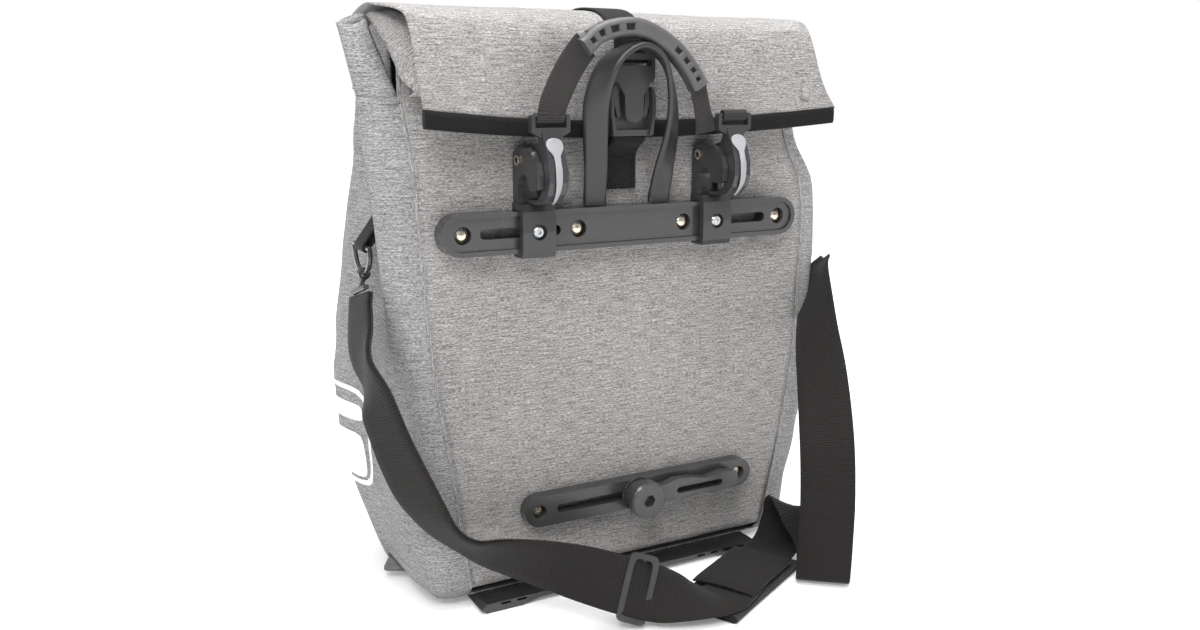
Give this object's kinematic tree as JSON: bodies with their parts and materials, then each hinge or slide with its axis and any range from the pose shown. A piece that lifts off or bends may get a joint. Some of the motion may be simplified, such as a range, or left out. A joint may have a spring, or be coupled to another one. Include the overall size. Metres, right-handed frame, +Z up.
{
  "type": "pannier bag",
  "caption": "Roll-top pannier bag with clamping rack hooks on a slotted rail, lifting handle, side-release buckle, swinging lower hook and a loose shoulder strap.",
  "frame": {"origin": "centre of the bag's bounding box at its base, without the shoulder strap", "axes": "+Z up; -Y towards the bicycle rack, the side with the rails and hooks; +X along the top rail"},
  "size_m": [0.3774, 0.2496, 0.4055],
  "materials": {
    "grey_fabric": "heathered coated polyester, matte",
    "side_fabric": "heathered coated polyester, matte, a little darker",
    "inner_board": "plain stiff sheet",
    "black_binding": "fine woven edging",
    "black_webbing": "ribbed webbing",
    "strap_webbing": "ribbed webbing",
    "brown_webbing": "ribbed webbing, brown-black",
    "black_plastic": "moulded, semi-gloss",
    "buckle_plastic": "moulded, satin",
    "hook_plastic": "glass-filled nylon, satin",
    "inlay_grey": "light grey moulding",
    "black_rubber": "soft moulded rubber",
    "brass": "bright",
    "zinc_steel": "zinc plated"
  },
  "bodies": {
    "bag": {"gusset_left": "side_fabric", "gusset_right": "side_fabric", "outer_panel": "grey_fabric", "back_panel": "grey_fabric", "stiffener_board": "inner_board", "bottom_panel": "grey_fabric", "base_runner_outer": "black_plastic", "base_runner_rack": "black_plastic", "closure_anchor": "black_webbing", "buckle_female": "buckle_plastic", "buckle_anchor_webbing": "black_webbing", "top_rail": "black_plastic", "rail_rivet_1": "brass", "rail_rivet_2": "brass", "rail_rivet_3": "brass", "rail_rivet_4": "brass", "lower_rail": "hook_plastic", "lower_rail_screw_1": "brass", "lower_rail_screw_2": "brass", "ring_tab_left": "black_webbing", "ring_tab_right": "black_webbing", "d_ring_left": "black_plastic", "d_ring_right": "black_plastic", "snap_hook_left": "inlay_grey", "snap_hook_right": "inlay_grey", "strap_left": "strap_webbing", "strap_middle": "brown_webbing", "strap_right": "strap_webbing", "strap_slider": "buckle_plastic", "shoulder_pad": "brown_webbing"},
    "roll_top": {"roll_flap": "grey_fabric", "flap_binding": "black_binding", "roll_tuck_left": "side_fabric", "roll_tuck_right": "side_fabric", "closure_strap": "black_webbing"},
    "buckle_plug": {"buckle_male": "buckle_plastic", "closure_strap_tail": "black_webbing"},
    "left_prong": {"buckle_prong_left": "buckle_plastic"},
    "right_prong": {"buckle_prong_right": "buckle_plastic"},
    "left_hook": {"hook_left": "hook_plastic", "clip_screw_left": "zinc_steel", "tube_insert_left": "hook_plastic", "lever_pin_left": "brass"},
    "right_hook": {"hook_right": "hook_plastic", "clip_screw_right": "zinc_steel", "tube_insert_right": "hook_plastic", "lever_pin_right": "brass"},
    "left_lever": {"lever_left": "hook_plastic", "lever_inlay_left": "inlay_grey"},
    "right_lever": {"lever_right": "hook_plastic", "lever_inlay_right": "inlay_grey"},
    "left_webbing": {"handle_webbing_left": "brown_webbing"},
    "right_webbing": {"handle_webbing_right": "brown_webbing"},
    "handle": {"handle_grip": "hook_plastic"},
    "loop": {"rubber_loop": "black_rubber"},
    "lower_slide": {"lower_carriage": "black_plastic"},
    "lower_arm": {"lower_hook": "hook_plastic"},
    "knob": {"lower_knob": "hook_plastic"}
  },
  "joints": [
    {"name": "roll_top_open", "type": "hinge", "parent": "bag", "child": "roll_top", "pos_m": [0, 0.0689, 0.328], "axis": [-1, 0, 0], "range_deg": [0, 100]},
    {"name": "buckle_release", "type": "slide", "parent": "roll_top", "child": "buckle_plug", "axis": [0, 0, 1], "range_m": [0, 0.022]},
    {"name": "prong_squeeze_left", "type": "hinge", "parent": "buckle_plug", "child": "left_prong", "pos_m": [-0.0163, -0.0659, 0.3524], "axis": [0, -1, 0], "range_deg": [0, 4], "stiffness_Nm_per_rad": 0.02},
    {"name": "prong_squeeze_right", "type": "hinge", "parent": "buckle_plug", "child": "right_prong", "pos_m": [0.0063, -0.0659, 0.3524], "axis": [0, 1, 0], "range_deg": [0, 4], "stiffness_Nm_per_rad": 0.02},
    {"name": "hook_slide_left", "type": "slide", "parent": "bag", "child": "left_hook", "axis": [1, 0, 0], "range_m": [-0.02, 0]},
    {"name": "hook_slide_right", "type": "slide", "parent": "bag", "child": "right_hook", "axis": [1, 0, 0], "range_m": [0, 0.02]},
    {"name": "handle_lift", "type": "slide", "parent": "bag", "child": "handle", "axis": [0, 0, 1], "range_m": [0, 0.0074], "stiffness_N_per_m": 150},
    {"name": "lever_open_left", "type": "hinge", "parent": "left_hook", "child": "left_lever", "pos_m": [-0.0725, -0.0581, 0.3056], "axis": [-1, 0, 0], "range_deg": [0, 22.1]},
    {"name": "lever_open_right", "type": "hinge", "parent": "right_hook", "child": "right_lever", "pos_m": [0.065, -0.0581, 0.3056], "axis": [-1, 0, 0], "range_deg": [0, 22.1]},
    {"name": "webbing_turn_left", "type": "hinge", "parent": "left_lever", "child": "left_webbing", "pos_m": [-0.0725, -0.0831, 0.3328], "axis": [1, 0, 0], "range_deg": [0, 39.5]},
    {"name": "webbing_turn_right", "type": "hinge", "parent": "right_lever", "child": "right_webbing", "pos_m": [0.065, -0.0831, 0.3328], "axis": [1, 0, 0], "range_deg": [0, 39.5]},
    {"name": "loop_pull", "type": "hinge", "parent": "bag", "child": "loop", "pos_m": [0, -0.0559, 0.2742], "axis": [1, 0, 0], "range_deg": [0, 20], "stiffness_Nm_per_rad": 0.3},
    {"name": "lower_slide", "type": "slide", "parent": "bag", "child": "lower_slide", "axis": [1, 0, 0], "range_m": [-0.045, 0.015]},
    {"name": "lower_arm_swing", "type": "hinge", "parent": "lower_slide", "child": "lower_arm", "pos_m": [0.0057, -0.062, 0.0652], "axis": [0, -1, 0], "range_deg": [-40, 150]},
    {"name": "knob_turn", "type": "hinge", "parent": "lower_slide", "child": "knob", "pos_m": [0.0057, -0.069, 0.0652], "axis": [0, -1, 0], "continuous": true}
  ],
  "couplings": [
    {"joint": "lever_open_left", "follows": "handle_lift", "rad_per_m": 51.9},
    {"joint": "lever_open_right", "follows": "handle_lift", "rad_per_m": 51.9},
    {"joint": "webbing_turn_left", "follows": "handle_lift", "rad_per_m": 92},
    {"joint": "webbing_turn_right", "follows": "handle_lift", "rad_per_m": 92}
  ]
}
